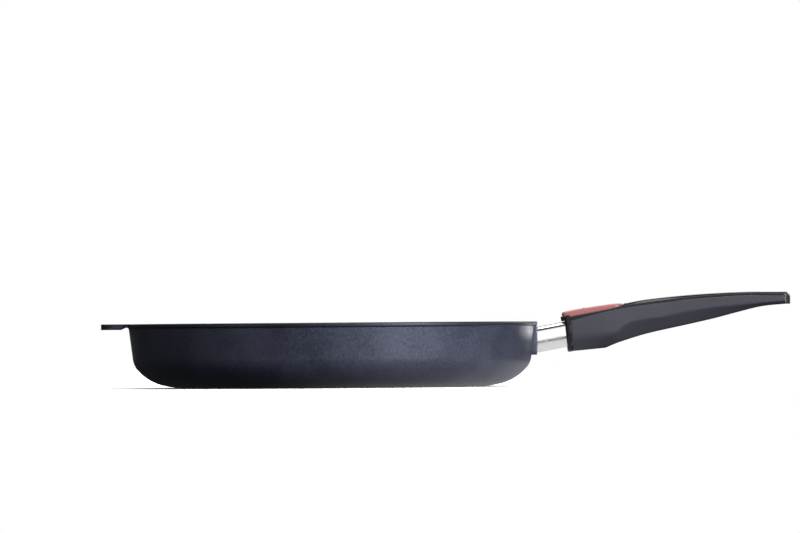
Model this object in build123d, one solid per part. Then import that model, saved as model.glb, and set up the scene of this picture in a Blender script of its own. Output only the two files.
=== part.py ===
from build123d import *
import math
import os

# Cast iron frying pan with a detachable handle, in millimetres.
# The origin is the centre of the base on its resting face, +Z is up and +X points along the handle.
# The cast vessel carries a helper tab at -X and a tongue at +X. The handle slides onto the tongue,
# where a sprung latch drops into a notch. Pressing the back of the red rocker lifts the latch.

# Vessel
pan_height = 45.0
rim_radius = 143.5
rim_inner_radius = 140.0
rim_band = 2.4
rim_round = 0.7
base_flat_radius = 102.0
base_thickness = 4.0
wall_thickness = 3.0
corner_radii = (66.0, 33.0, 15.2)
corner_turns = (15.0, 34.2, 33.4)
wall_angle = sum(corner_turns)
base_ring_radii = (34.0, 68.0, 98.0)
base_ring_width = 2.0
base_ring_depth = 0.35

# Helper tab
tab_reach = 161.8
tab_width = 50.0
tab_corner = 7.0
tab_root_round = 5.0
tab_root_x = 120.0
tab_lip_drop = 1.5
tab_lip_reach = 144.2
tab_lip_slope = 3.0
tab_lip_inset = 0.8

# Lug pad and tongue, which leave the wall at a slant
pad_face_x = 143.0
pad_width = 29.0
pad_bottom = 21.6
pad_corner = 3.0
pad_depth = 20.0
tongue_tilt = 10.5
tongue_start_z = 32.0
tongue_width = 15.0
tongue_height = 9.0
tongue_length = 47.0
tongue_round = 1.2
tongue_nose = 3.0
notch_start = 35.4
notch_end = 40.6
notch_depth = 1.5

# Ferrule
ferrule_width = 25.0
ferrule_height = 17.7
ferrule_corner = 3.4
ferrule_bulge = 0.9
ferrule_wall = 1.2
ferrule_mouth_x = 143.3
ferrule_end = 31.0

# Handle
grip_front = 24.36
grip_front_lean = 5.0
collar_front = 20.6
collar_nose = 19.2
collar_half_width = 15.1
collar_top = 12.8
collar_round = 1.4
nose_half_width = 12.5
nose_bottom = 9.3
grip_half_widths = ((160.0, 14.9), (190.0, 15.1), (214.0, 14.0), (245.0, 12.9), (285.0, 12.7), (325.0, 12.7))
belly_line = (
    (190.8, 26.1),
    (198.5, 29.3),
    (206.0, 31.8),
    (218.0, 35.4),
    (231.0, 38.4),
    (243.0, 40.9),
    (255.0, 43.5),
    (267.0, 46.2),
    (284.0, 50.6),
    (300.0, 54.3),
    (316.2, 55.9),
)
facet_stations = (
    (192.5, 15.1, 34.0, 8.2, 26.6),
    (199.0, 14.8, 36.9, 8.4, 29.5),
    (209.0, 14.4, 44.3, 8.5, 32.7),
    (232.0, 13.4, 47.6, 7.2, 38.6),
    (262.0, 12.8, 53.2, 7.0, 45.1),
    (292.0, 12.7, 55.8, 8.2, 52.5),
    (317.0, 12.7, 58.0, 10.0, 55.9),
)
block_bottom = -12.6
seam_front = 8.95
seam_u = 46.0
seam_w = 10.3
seam_rear = ((222.0, 56.4), (256.0, 60.3), (290.0, 62.0), (316.2, 61.8))
crown_line = ((204.9, 57.3), (215.0, 59.2), (228.0, 60.8), (256.0, 63.2), (288.0, 64.6))
block_round = 8.0
spine_inset = 0.45
crown_chamfer_drop = 0.8
crown_chamfer_in = 3.0
tip_x = 320.0
tip_chamfer_start = (317.4, 64.55)
tip_chamfer_end_z = 62.6
tip_bottom_z = 55.9
tip_shell_x = 316.2
tip_corner = 5.5
rail_top = 11.75
rail_end = 65.6
rail_ramp = 60.5
recess_half_width = 10.6
button_half_width = 9.9
button_round = 0.9
button_front = 20.4
button_rear = 64.0
button_low = 11.5
button_lip_low = 12.85
button_lip_end = 26.0
hollow_half_width = 6.0
hollow_line = (
    (217.0, 44.5),
    (231.0, 45.8),
    (244.0, 47.4),
    (256.0, 49.2),
    (270.0, 52.4),
    (284.0, 56.0),
    (284.0, 66.0),
    (217.0, 66.0),
)
eye_centre_x = 306.0
eye_length = 14.0
eye_width = 7.0

# Mechanism
fit_gap = 0.05
slide_gap = 0.2
guide_end = 68.0
guide_step_u = 49.0
guide_half_width = 10.4
guide_rear_half_width = 8.4
guide_floor_w = -8.4
guide_rear_floor_w = -6.9
guide_top_w = 5.2
pin_u = 46.0
pin_w = 9.4
pin_radius = 1.25
pin_half_length = 10.6
lever_front = 31.9
lever_rear = 52.0
lever_half_width = 7.2
lever_low = 8.0
lever_top = 12.9
hub_radius = 2.75
claw_half_width = 5.2
claw_bottom = 4.85
latch_width = 9.0
latch_thickness = 0.8
latch_line = ((33.8, 6.3), (38.6, 3.7), (40.0, 3.7), (40.0, 5.7), (63.0, 5.7))
rivet_us = (54.0, 61.0)
rivet_radius = 1.2
front_screw_u = 57.5
rear_screw_x = 250.0
screw_radius = 1.75
screw_hole_radius = 1.8
screw_shank = 12.0
boss_radius = 3.6
boss_bottom = 49.0
boss_top = 60.5
screw_head_radius = 3.4
screw_head_height = 2.2
counterbore_radius = 3.8
front_screw_seat = -9.6
rear_screw_seat = 45.6
cross_width = 0.9
cross_length = 4.0
cross_depth = 1.2

tilt = math.radians(tongue_tilt)
tilt_cos, tilt_sin = math.cos(tilt), math.sin(tilt)
start = Vector(pad_face_x, 0, tongue_start_z)
along = Vector(tilt_cos, 0, tilt_sin)
up = Vector(-tilt_sin, 0, tilt_cos)
side_plane = Plane(origin=start, x_dir=along, z_dir=(0, -1, 0))
world_side = Plane(origin=(0, 0, 0), x_dir=(1, 0, 0), z_dir=(0, -1, 0))


def across(u):
    """Plane across the tongue at u from the pad: its x is the object's Y, its y is up from the tongue."""
    return Plane(origin=start + along * u, x_dir=(0, 1, 0), z_dir=along)


def at(u, w, v=0.0):
    """Point of the object at u along the tongue, w above its axis and v to the side."""
    return start + along * u + up * w + Vector(0, v, 0)


def through(plane, face, half_width):
    """Prism of a flat face in a side plane, the same distance to both sides."""
    return extrude(plane.offset(-half_width) * face, amount=2 * half_width)


def slab(plane, points, half_width):
    """Prism of a polygon in a side plane, the same distance to both sides."""
    return through(plane, make_face(Polyline(*points, close=True)), half_width)


def block(u0, u1, v0, v1, w0, w1):
    """Box in the tongue's directions."""
    side = make_face(Polyline((u0, w0), (u1, w0), (u1, w1), (u0, w1), close=True))
    box = extrude(side_plane * side, amount=-(v1 - v0))
    return box.moved(Location((0, v0, 0)))


def ferrule_face(grow):
    """Cross-section of the ferrule: a rounded rectangle whose sides bulge, made larger by grow."""
    half_v = ferrule_width / 2 - ferrule_bulge
    half_w = ferrule_height / 2
    with BuildSketch() as sketch:
        with BuildLine():
            Line((-half_v, half_w), (half_v, half_w))
            ThreePointArc((half_v, half_w), (half_v + ferrule_bulge, 0), (half_v, -half_w))
            Line((half_v, -half_w), (-half_v, -half_w))
            ThreePointArc((-half_v, -half_w), (-half_v - ferrule_bulge, 0), (-half_v, half_w))
        make_face()
        fillet(sketch.vertices(), ferrule_corner)
        if grow:
            offset(amount=grow)
    return sketch.sketch


def ferrule_bar(u0, u1, grow):
    """Solid bar with the ferrule's cross-section."""
    return extrude(across(u0) * ferrule_face(grow), amount=u1 - u0)


def arc_chain(start_r, start_z, radii):
    """Tangent arcs from the flat base up to the wall."""
    arcs = []
    point, heading = Vector(start_r, start_z), 0.0
    for radius, turn in zip(radii, corner_turns):
        tangent = (math.cos(math.radians(heading)), math.sin(math.radians(heading)))
        arcs.append(JernArc(start=point, tangent=tangent, radius=radius, arc_size=turn))
        point, heading = arcs[-1] @ 1, heading + turn
    return arcs, point


def wall_reach(point, z):
    """Radius of the straight wall at a height z, from the end of the corner arcs."""
    return point.X + (z - point.Y) / math.tan(math.radians(wall_angle))


def revolved(lines):
    """Solid of revolution about Z from lines drawn as radius and height."""
    return revolve(world_side * make_face(Wire(lines)), Axis.Z)


def vessel_outside():
    """Outer form of the vessel with its rim band."""
    arcs, point = arc_chain(base_flat_radius, 0.0, corner_radii)
    under_band = pan_height - rim_band
    step_r = wall_reach(point, under_band - 0.7)
    chain = Polyline(
        (point.X, point.Y),
        (step_r, under_band - 0.7),
        (rim_radius, under_band),
        (rim_radius, pan_height),
        (0, pan_height),
        (0, 0),
        (base_flat_radius, 0),
    )
    solid = revolved([*arcs, *chain.edges()])
    top_edge = solid.edges().filter_by(GeomType.CIRCLE).sort_by(lambda e: e.center().Z + e.radius)[-1]
    return fillet(top_edge, rim_round)


def vessel_inside():
    """Space inside the vessel, open at the top."""
    inner = tuple(radius - wall_thickness for radius in corner_radii)
    arcs, point = arc_chain(base_flat_radius, base_thickness, inner)
    above = pan_height + 5.0
    chain = Polyline(
        (point.X, point.Y),
        (wall_reach(point, pan_height), pan_height),
        (rim_inner_radius, pan_height),
        (rim_inner_radius, above),
        (0, above),
        (0, base_thickness),
        (base_flat_radius, base_thickness),
    )
    return revolved([*arcs, *chain.edges()])


def tab_outline(reach, half_width, inner_x, root_round):
    """Plan of the helper tab: straight sides, an end that follows the rim's circle and rounded corners."""
    end = make_face(Wire.make_circle(reach))
    strip = Location((-(reach + inner_x) / 2, 0)) * Rectangle(reach - inner_x, 2 * half_width)
    plan = end & strip
    tips = plan.vertices().sort_by(Axis.X)[:2]
    plan = fillet(tips, tab_corner)
    if root_round:
        plan = plan + Circle(rim_radius - 0.2)
        roots = [v for v in plan.vertices() if abs(abs(v.Y) - half_width) < 1.0 and v.X > -rim_radius]
        plan = fillet(roots, root_round)
    return plan


def helper_tab():
    """Flat tab level with the rim, with a lip under its outer part."""
    under = pan_height - rim_band
    low = under - tab_lip_drop
    flared = tab_outline(tab_reach, tab_width / 2, tab_root_x, tab_root_round)
    straight = tab_outline(tab_reach, tab_width / 2, tab_root_x, 0)
    plate = extrude(Location((0, 0, under)) * flared, amount=rim_band)
    lip = extrude(Location((0, 0, low)) * straight, amount=tab_lip_drop)
    far_x = -tab_reach - 5
    slope_x = -tab_lip_reach - tab_lip_slope
    outline = [(far_x, low - 1), (slope_x, low - 1), (slope_x, low), (-tab_lip_reach, under), (far_x, under)]
    lip = lip & slab(world_side, outline, tab_width)
    lowest = lip.edges().group_by(Axis.Z)[0]
    outer = [edge for edge in lowest if edge.center().X < slope_x - 1]
    return plate + chamfer(outer, tab_lip_inset)


def lug_pad():
    """Flat-faced pad on the wall that the ferrule butts against."""
    with BuildSketch(Plane.YZ) as sketch:
        rise = pan_height - rim_band - pad_bottom
        with Locations((0, pad_bottom + rise / 2)):
            Rectangle(pad_width, rise)
        fillet(sketch.vertices().group_by(Axis.Y)[0], pad_corner)
    pad = extrude(sketch.sketch, amount=pad_depth)
    return pad.moved(Location((pad_face_x - pad_depth, 0, 0)))


def tongue():
    """Tongue that carries the handle, with a ramped nose and a notch for the latch in its top."""
    half_v, half_w = tongue_width / 2, tongue_height / 2
    bar = block(-8.0, tongue_length, -half_v, half_v, -half_w, half_w)
    long_edges = [e for e in bar.edges() if e.length > tongue_length]
    bar = fillet(long_edges, tongue_round)
    nose = slab(
        side_plane,
        [
            (tongue_length - tongue_nose, half_w + 1),
            (tongue_length - tongue_nose, half_w),
            (tongue_length, half_w - tongue_nose * 0.7),
            (tongue_length + 1, half_w - tongue_nose * 0.7),
            (tongue_length + 1, half_w + 1),
        ],
        half_v + 1,
    )
    notch = block(notch_start, notch_end, -half_v - 1, half_v + 1, half_w - notch_depth, half_w + 1)
    return bar - nose - notch - before(pad_face_x - 6.0)


def base_rings():
    """Shallow turned rings in the base."""
    bottom = (Align.CENTER, Align.CENTER, Align.MIN)
    half = base_ring_width / 2
    rings = None
    for radius in base_ring_radii:
        ring = Cylinder(radius + half, base_ring_depth, align=bottom)
        ring -= Cylinder(radius - half, base_ring_depth, align=bottom)
        rings = ring if rings is None else rings + ring
    return rings


def pan_casting():
    """The whole casting: vessel, tab, pad and tongue."""
    return vessel_outside() + helper_tab() + lug_pad() + tongue() - vessel_inside() - base_rings()


def ferrule():
    """Steel sleeve, cut parallel to the pad at its mouth, with rivet holes in its sides."""
    bar = ferrule_bar(-6.0, ferrule_end, 0)
    hollow = ferrule_bar(-7.0, ferrule_end + 1, -ferrule_wall)
    return bar - hollow - before(ferrule_mouth_x) - ferrule_pin(fit_gap)


def before(x):
    """Box that takes away what lies nearer the pan than x."""
    return Location((x, 0, tongue_start_z)) * Box(30, 60, 60, align=(Align.MAX, Align.CENTER, Align.CENTER))


def ferrule_pin(grow=0.0):
    """Cross pin that holds the ferrule on the guide, under the tongue."""
    half = ferrule_width / 2 - 1.2
    centre = at(28.0, -6.15)
    rod = Cylinder(0.9 + grow, 2 * half, rotation=(90, 0, 0))
    return rod.moved(Location(centre))


def tongue_guide():
    """Insert that fills the ferrule, guides the tongue, and carries the latch and the rocker's pin."""
    inside = ferrule_bar(-6.0, ferrule_end, -ferrule_wall - fit_gap) - before(ferrule_mouth_x + 0.6)
    wide, narrow = guide_half_width, guide_rear_half_width
    middle = block(ferrule_end, guide_step_u, -wide, wide, guide_floor_w, guide_top_w)
    rear = block(guide_step_u, guide_end, -narrow, narrow, guide_rear_floor_w, guide_top_w)
    guide = inside + middle + rear
    for side in (-1, 1):
        low_v, high_v = sorted((side * 8.2, side * wide))
        guide += block(pin_u - 4, guide_step_u, low_v, high_v, guide_top_w - 0.2, 10.9)
    half_v, half_w = tongue_width / 2 + slide_gap, tongue_height / 2 + slide_gap
    guide -= block(-4.0, tongue_length + 0.6, -half_v, half_v, -half_w, half_w)
    guide -= block(ferrule_end, tongue_length + 0.6, -half_v, half_v, 0, 8.0)
    guide -= ferrule_pin(fit_gap)
    guide -= across_pin(pin_radius + fit_gap, 12.0)
    for u in rivet_us:
        guide -= upright(u, 0.0, rivet_radius + fit_gap, 1.0, 8.0)
    guide -= upright(front_screw_u, 0.0, screw_hole_radius, -9.0, screw_shank + front_screw_seat + 0.3)
    return guide


def across_pin(radius, half_length):
    """Round rod across the handle at the rocker's axis."""
    return Cylinder(radius, 2 * half_length, rotation=(90, 0, 0)).moved(Location(at(pin_u, pin_w)))


def upright(u, v, radius, w0, w1):
    """Round rod square to the tongue, from w0 to w1."""
    plane = Plane(origin=at(u, w0, v), x_dir=(0, 1, 0), z_dir=up)
    return extrude(plane * Circle(radius), amount=w1 - w0)


def latch_spring():
    """Spring strip above the tongue, whose bent catch drops into the notch."""
    line = Polyline(*latch_line)
    band = make_face(offset(line, latch_thickness / 2, kind=Kind.INTERSECTION, side=Side.BOTH).edges())
    strip = through(side_plane, band, latch_width / 2)
    for u in rivet_us:
        strip -= upright(u, 0.0, rivet_radius + fit_gap, 1.0, 8.0)
    return strip


def latch_rivets():
    """Two rivets that hold the latch on the guide."""
    top = latch_line[-1][1] + latch_thickness / 2 + fit_gap
    rivets = []
    for u in rivet_us:
        head = fillet(upright(u, 0.0, 2.1, top, top + 0.9).edges().group_by(SortBy.LENGTH)[-1][-1:], 0.4)
        rivets.append(upright(u, 0.0, rivet_radius, 1.1, top + 0.1) + head)
    return Compound(rivets)


def release_lever():
    """Lever on the pin, with a claw under the tip of the latch."""
    half, front = lever_half_width, lever_front
    body = block(front, lever_rear, -half, half, lever_low, lever_top)
    body += across_pin(hub_radius, half)
    for side in (-1, 1):
        low_v, high_v = sorted((side * claw_half_width, side * half))
        body += block(front + 0.1, front + 2.1, low_v, high_v, claw_bottom, lever_low + 1)
    body += block(front + 0.1, front + 2.0, -half, half, claw_bottom, claw_bottom + 0.65)
    return body - across_pin(pin_radius + fit_gap, 12.0)


def button_cap():
    """Red thumb piece: a crowned pad over the rocker, with a pocket for the lever."""
    front, rear, low, lip = button_front, button_rear, button_low, button_lip_low
    top = ThreePointArc((front, 15.1), (40.0, 15.6), (rear, 13.3))
    step = button_lip_end
    outline = Polyline((rear, 13.3), (rear, low), (step, low), (step, lip), (front, lip), (front, 15.1))
    body = through(side_plane, make_face([*top.edges(), *outline.edges()]), button_half_width + 1)
    plan_plane = Plane(origin=at(0, 0), x_dir=along, z_dir=up)
    with BuildSketch(plan_plane) as plan:
        with Locations(((front + rear) / 2, 0)):
            Rectangle(rear - front, 2 * button_half_width)
        fillet(plan.vertices().group_by(Axis.X)[0], 3.2)
        fillet(plan.vertices().group_by(Axis.X)[-1], 6.5)
    body = body & extrude(plan.sketch, amount=20)
    crown = body.faces().sort_by(lambda f: f.center().dot(up))[-1].edges()
    body = fillet(crown, button_round)
    half = lever_half_width + 0.1
    pocket = block(lever_front - 0.1, lever_rear + 0.1, -half, half, button_low - 0.5, lever_top + 0.1)
    return body - pocket


def half_width_line(shrink):
    """Half-width of the grip along X, as a smooth line."""
    return Spline(*[(x, w - shrink) for x, w in grip_half_widths])


def plan_prism(shrink, end_x, corner):
    """Upright prism with the grip's plan outline."""
    upper = half_width_line(shrink)
    lower = mirror(upper, Plane.XZ)
    first, last = upper @ 0, upper @ 1
    ends = [Line(upper @ 0, lower @ 0), Line(upper @ 1, lower @ 1)]
    face = make_face([*upper.edges(), *lower.edges(), *ends])
    keep = Location(((first.X + end_x) / 2, 0)) * Rectangle(end_x - first.X, 60)
    face = face & keep
    if corner:
        face = fillet(face.vertices().sort_by(Axis.X)[-2:], corner)
    return extrude(face, amount=100)


def local(u, w):
    """Side-view point given along the tongue, as X and Z."""
    point = at(u, w)
    return (point.X, point.Z)


def front_point(w, gap=0.0):
    """Side-view point on the grip's slanted front face, w above the tongue's axis."""
    return local(grip_front - gap + w * math.tan(math.radians(grip_front_lean)), w)


def seam_points():
    """Places on the parting line, front to tip."""
    return [front_point(seam_front), local(seam_u, seam_w), *seam_rear]


def parting_line():
    """Line where the spine meets the shell, front to tip."""
    return Spline(*seam_points())


def shell_side():
    """Side outline of the shell: block, kink, scooped belly and tip."""
    seam = parting_line()
    belly = Spline(*belly_line)
    front = front_point(block_bottom)
    rest = [Line(front, belly_line[0]), Line(belly_line[-1], seam @ 1), Line(seam @ 0, front)]
    return make_face([*seam.edges(), *belly.edges(), *[line.edge() for line in rest]])


def spine_side():
    """Side outline of the spine: rails beside the button, crown behind it, and the tail round the tip."""
    seam = parting_line()
    crown = Spline(*crown_line, tip_chamfer_start)
    ramp = local(rail_ramp, rail_top + 0.25)
    tail_x, seam_z = tip_shell_x + fit_gap, seam_rear[-1][1]
    lines = [
        Line(seam @ 0, front_point(rail_top)),
        Line(front_point(rail_top), ramp),
        Line(ramp, crown_line[0]),
        Line(tip_chamfer_start, (tip_x, tip_chamfer_end_z)),
        Line((tip_x, tip_chamfer_end_z), (tip_x - 0.6, tip_bottom_z)),
        Line((tip_x - 0.6, tip_bottom_z), (tail_x, tip_bottom_z)),
        Line((tail_x, tip_bottom_z), (tail_x, seam_z)),
        Line((tail_x, seam_z), seam @ 1),
    ]
    return make_face([*seam.edges(), *crown.edges(), *[line.edge() for line in lines]])


def facet_cut(side):
    """Wedge that scoops the lower side of the grip behind the kink."""
    faces = []
    for x, crease_y, crease_z, bottom_y, bottom_z in facet_stations:
        over_y, over_z = 0.15 * (crease_y - bottom_y), 0.15 * (crease_z - bottom_z)
        corners = [
            (side * (crease_y + over_y), crease_z + over_z),
            (side * (bottom_y - over_y), bottom_z - over_z),
            (side * (bottom_y - over_y), bottom_z - 8.0),
            (side * 22.0, bottom_z - 8.0),
            (side * 22.0, crease_z + over_z),
        ]
        faces.append(Plane.YZ.offset(x) * make_face(Polyline(*corners, close=True)))
    return loft(faces, ruled=True)


def block_corner(side):
    """Strip that rounds a lower corner of the front block."""
    front_x, front_z = front_point(block_bottom)
    heading = Vector(belly_line[0][0] - front_x, 0, belly_line[0][1] - front_z)
    plane = Plane(origin=(front_x, 0, front_z), x_dir=(0, 1, 0), z_dir=heading)
    inner = grip_half_widths[0][1] - block_round
    square = Location((side * (inner + block_round / 2 + 1), block_round / 2 - 1)) * Rectangle(
        block_round + 2, block_round + 2
    )
    corner = square - Location((side * inner, block_round)) * Circle(block_round)
    keep = corner & Location((side * (inner + 4), 0)) * Rectangle(8, 2 * block_round)
    return extrude(plane.offset(-5) * keep, amount=heading.length + 5.2)


def eye_slot():
    """Hanging eye through the tip."""
    face = Location((eye_centre_x, 0)) * SlotOverall(eye_length, eye_width)
    return extrude(face, amount=100)


def rear_screw_rod(radius, z0, z1):
    """Upright rod at the rear screw."""
    return extrude(Location((rear_screw_x, 0, z0)) * Circle(radius), amount=z1 - z0)


def grip_shell():
    """Matt outer shell: a trough that holds the guide in front and is hollow behind."""
    outline = plan_prism(0, tip_x + spine_inset, tip_corner + spine_inset)
    body = through(world_side, shell_side(), 30) & outline
    for side in (-1, 1):
        body -= facet_cut(side)
        body -= block_corner(side)
    body -= ferrule_bar(grip_front - 4, ferrule_end + 0.1, 0.1)
    step, rear = guide_step_u + fit_gap, guide_end + 0.2
    wide, narrow = guide_half_width + 0.1, guide_rear_half_width + 0.1
    body -= block(ferrule_end, step, -wide, wide, guide_floor_w - 0.1, 15)
    body -= block(guide_step_u, rear, -narrow, narrow, guide_rear_floor_w - 0.1, 15)
    body -= block(guide_step_u, rear, -wide, wide, guide_top_w + 0.1, 15)
    body -= slab(world_side, hollow_line, hollow_half_width)
    body -= upright(front_screw_u, 0.0, screw_hole_radius + 0.15, -20.0, 0.0)
    body -= upright(front_screw_u, 0.0, counterbore_radius, -20.0, front_screw_seat)
    body -= rear_screw_rod(screw_hole_radius + 0.15, 30, 60)
    body -= rear_screw_rod(counterbore_radius, 30, rear_screw_seat)
    return body - eye_slot()


def crown_edges(body):
    """Long edges where the crown meets the spine's sides."""
    chosen = []
    for edge in body.edges():
        middle = edge.center()
        beside = abs(middle.Y) > 8 and edge.length > 60
        if beside and middle.Z - seam_height(middle.X) > 1.5:
            chosen.append(edge)
    return chosen


def grip_spine():
    """Glossy top of the grip: rails, crown, tail and a boss for the rear screw."""
    body = through(world_side, spine_side(), 30) & plan_prism(spine_inset, tip_x, tip_corner)
    body = chamfer(crown_edges(body), crown_chamfer_drop, crown_chamfer_in)
    recess = block(19.0, rail_end, -recess_half_width, recess_half_width, 0, 30)
    body -= recess
    body -= ferrule_bar(grip_front - 4, ferrule_end + 0.1, 0.1)
    body += rear_screw_rod(boss_radius, boss_bottom, boss_top)
    body -= rear_screw_rod(screw_hole_radius, 40, rear_screw_seat + screw_shank + 0.4)
    return body - eye_slot()


def seam_height(x):
    """Height of the parting line at a place along X, straight between a few of its points."""
    points = seam_points()
    for (x0, z0), (x1, z1) in zip(points, points[1:]):
        if x <= x1:
            return z0 + (z1 - z0) * (x - x0) / (x1 - x0)
    return points[-1][1]


def front_collar():
    """Glossy ring between the ferrule and the grip, with a nose over the ferrule."""
    slope = math.tan(math.radians(grip_front_lean))
    with BuildSketch(across(collar_nose)) as ring:
        with Locations((0, (collar_top + block_bottom) / 2)):
            Rectangle(2 * collar_half_width, collar_top - block_bottom)
        fillet(ring.vertices().group_by(Axis.Y)[0], block_round)
        fillet(ring.vertices().group_by(Axis.Y)[-1], 2.0)
    body = extrude(ring.sketch, amount=grip_front + 4 - collar_nose)
    ahead = [local(collar_front + w * slope, w) for w in (-20, 20)] + [local(5, 20), local(5, -20)]
    body -= slab(world_side, ahead, 30)
    face = body.faces().sort_by(lambda f: (f.center() - start).dot(along))[0]
    body = fillet(face.edges(), collar_round)
    body += block(collar_nose, grip_front + 1, -nose_half_width, nose_half_width, nose_bottom, collar_top)
    behind = [front_point(-20, fit_gap), front_point(20, fit_gap), local(40, 20), local(40, -20)]
    return body - ferrule_bar(collar_nose - 2, grip_front + 5, 0.1) - slab(world_side, behind, 30)


def screw(plane_point, direction):
    """Pan-head screw with a cross recess, head at the given point, shank along the direction."""
    plane = Plane(origin=plane_point, z_dir=direction)
    shank = extrude(plane * Circle(screw_radius), amount=screw_shank)
    head = extrude(plane * Circle(screw_head_radius), amount=-screw_head_height)
    head = fillet(head.edges().sort_by(lambda e: (e.center() - plane_point).dot(direction))[0], 0.9)
    face = Plane(origin=plane_point - direction * screw_head_height, z_dir=direction)
    cross = face * (Rectangle(cross_length, cross_width) + Rectangle(cross_width, cross_length))
    return shank + head - extrude(cross, amount=cross_depth)


def grip_screws():
    """Two screws from below: one into the guide, one into the spine."""
    return Compound(
        [
            screw(at(front_screw_u, front_screw_seat), up),
            screw(Vector(rear_screw_x, 0, rear_screw_seat), Vector(0, 0, 1)),
        ]
    )


def rocker_pin():
    """Pin that the rocker turns on."""
    return across_pin(pin_radius, pin_half_length - 0.3)


subparts = {
    "pan_casting": pan_casting,
    "ferrule": ferrule,
    "ferrule_pin": ferrule_pin,
    "tongue_guide": tongue_guide,
    "latch_spring": latch_spring,
    "latch_rivets": latch_rivets,
    "rocker_pin": rocker_pin,
    "release_lever": release_lever,
    "button_cap": button_cap,
    "front_collar": front_collar,
    "grip_shell": grip_shell,
    "grip_spine": grip_spine,
    "grip_screws": grip_screws,
}

os.makedirs("parts", exist_ok=True)
for name, build in subparts.items():
    shape = build()
    export_step(shape, f"parts/{name}.step")
    print(name, len(shape.solids()), round(shape.volume, 1))
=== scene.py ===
import bpy
import math
from mathutils import Matrix, Vector


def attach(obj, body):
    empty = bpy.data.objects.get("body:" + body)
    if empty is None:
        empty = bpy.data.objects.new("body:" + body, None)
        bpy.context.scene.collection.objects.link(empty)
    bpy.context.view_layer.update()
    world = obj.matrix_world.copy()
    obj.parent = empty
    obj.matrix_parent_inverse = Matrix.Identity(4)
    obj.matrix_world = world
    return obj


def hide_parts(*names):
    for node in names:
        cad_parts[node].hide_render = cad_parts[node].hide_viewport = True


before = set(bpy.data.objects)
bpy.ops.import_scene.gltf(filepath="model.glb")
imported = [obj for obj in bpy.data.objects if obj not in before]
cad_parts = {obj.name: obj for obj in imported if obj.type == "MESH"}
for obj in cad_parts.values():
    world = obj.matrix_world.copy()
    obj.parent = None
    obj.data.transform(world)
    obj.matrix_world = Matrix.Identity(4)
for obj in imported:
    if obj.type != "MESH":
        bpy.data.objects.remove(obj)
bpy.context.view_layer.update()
print("stage: frame loaded")

mm = 0.001

# Camera, at the photograph's viewing angle
cameraSetup = {
    "middle": (47.87, 0.0, 83.92),  # point at the picture's middle, mm
    "height": 57.0,  # mm above the floor
    "distance": 10000.0,
    "pictureWidth": 558.4,  # mm across the frame at the pan
    "roll": 0.43,  # degrees, right side up
    "sensor": 36.0,
}


def addCamera(setup):
    middle = Vector(setup["middle"]) * mm
    eye = Vector((middle.x, -setup["distance"] * mm, setup["height"] * mm))
    bpy.ops.object.camera_add(location=eye)
    camera = bpy.context.object
    look = (middle - eye).to_track_quat("-Z", "Y")
    roll = Matrix.Rotation(math.radians(-setup["roll"]), 4, "Z")
    camera.matrix_world = Matrix.Translation(eye) @ look.to_matrix().to_4x4() @ roll
    camera.data.sensor_width = setup["sensor"]
    camera.data.lens = setup["sensor"] * setup["distance"] / setup["pictureWidth"]
    camera.data.clip_end = 50.0
    bpy.context.scene.camera = camera


addCamera(cameraSetup)
bpy.context.scene.view_settings.view_transform = "Standard"
print("stage: camera")


# Node helpers
def newMaterial(name, **shader):
    material = bpy.data.materials.new(name)
    material.use_nodes = True
    principled = material.node_tree.nodes["Principled BSDF"]
    for socket, value in shader.items():
        principled.inputs[socket.replace("_", " ")].default_value = value
    return material, material.node_tree, principled


def addNode(tree, kind, inputs=(), **values):
    node = tree.nodes.new(kind)
    for name, value in values.items():
        setattr(node, name, value)
    for socket, value in dict(inputs).items():
        if isinstance(value, bpy.types.NodeSocket):
            tree.links.new(value, node.inputs[socket])
        else:
            node.inputs[socket].default_value = value
    return node


def objectPoint(tree, stretch=(1.0, 1.0, 1.0), turn=(0.0, 0.0, 0.0)):
    where = addNode(tree, "ShaderNodeTexCoord")
    inputs = {"Vector": where.outputs["Object"], "Scale": stretch, "Rotation": turn}
    mapping = addNode(tree, "ShaderNodeMapping", inputs)
    return mapping.outputs["Vector"]


def noise(tree, point, scale, detail=2.0, rough=0.5):
    inputs = {"Vector": point, "Scale": scale, "Detail": detail, "Roughness": rough}
    return addNode(tree, "ShaderNodeTexNoise", inputs).outputs["Fac"]


def remap(tree, value, low, high, outLow, outHigh):
    inputs = {"Value": value, "From Min": low, "From Max": high, "To Min": outLow, "To Max": outHigh}
    return addNode(tree, "ShaderNodeMapRange", inputs, interpolation_type="SMOOTHSTEP").outputs["Result"]


def mixColour(tree, factor, first, second):
    node = addNode(tree, "ShaderNodeMix", data_type="RGBA")
    for socket, value in ((0, factor), (6, first), (7, second)):
        if isinstance(value, bpy.types.NodeSocket):
            tree.links.new(value, node.inputs[socket])
        else:
            node.inputs[socket].default_value = value
    return node.outputs[2]


def math2(tree, operation, first, second):
    return addNode(tree, "ShaderNodeMath", {0: first, 1: second}, operation=operation).outputs[0]


def addBump(tree, principled, height, distance, strength=1.0, under=None):
    bump = addNode(tree, "ShaderNodeBump", {"Height": height, "Distance": distance, "Strength": strength})
    if under is not None:
        tree.links.new(under, bump.inputs["Normal"])
    tree.links.new(bump.outputs["Normal"], principled.inputs["Normal"])
    return bump.outputs["Normal"]


# Finish of the casting: matt blue-grey coat with a fine sparkle, and painted shade that darkens the rim band
# and the tab
castCoat = {
    "deep": (0.040, 0.045, 0.074, 1.0),
    "pale": (0.066, 0.074, 0.118, 1.0),
    "fleck": (0.17, 0.18, 0.24, 1.0),
    "metal": 0.35,
    "rough": (0.34, 0.48),
    "grainScale": 620.0,
    "mottleScale": 42.0,
    "fleckScale": 1500.0,
    "fleckShare": 0.35,
    "rippleScale": 260.0,
    "rippleHeight": 0.00010,
    "grainHeight": 0.00006,
    "band": (0.0425, 0.0427, 1.0, 0.36),  # height range in m of the rim band, and how dark it gets: painted shade, the base colour darkened from this height up on the band and the tab
}


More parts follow.
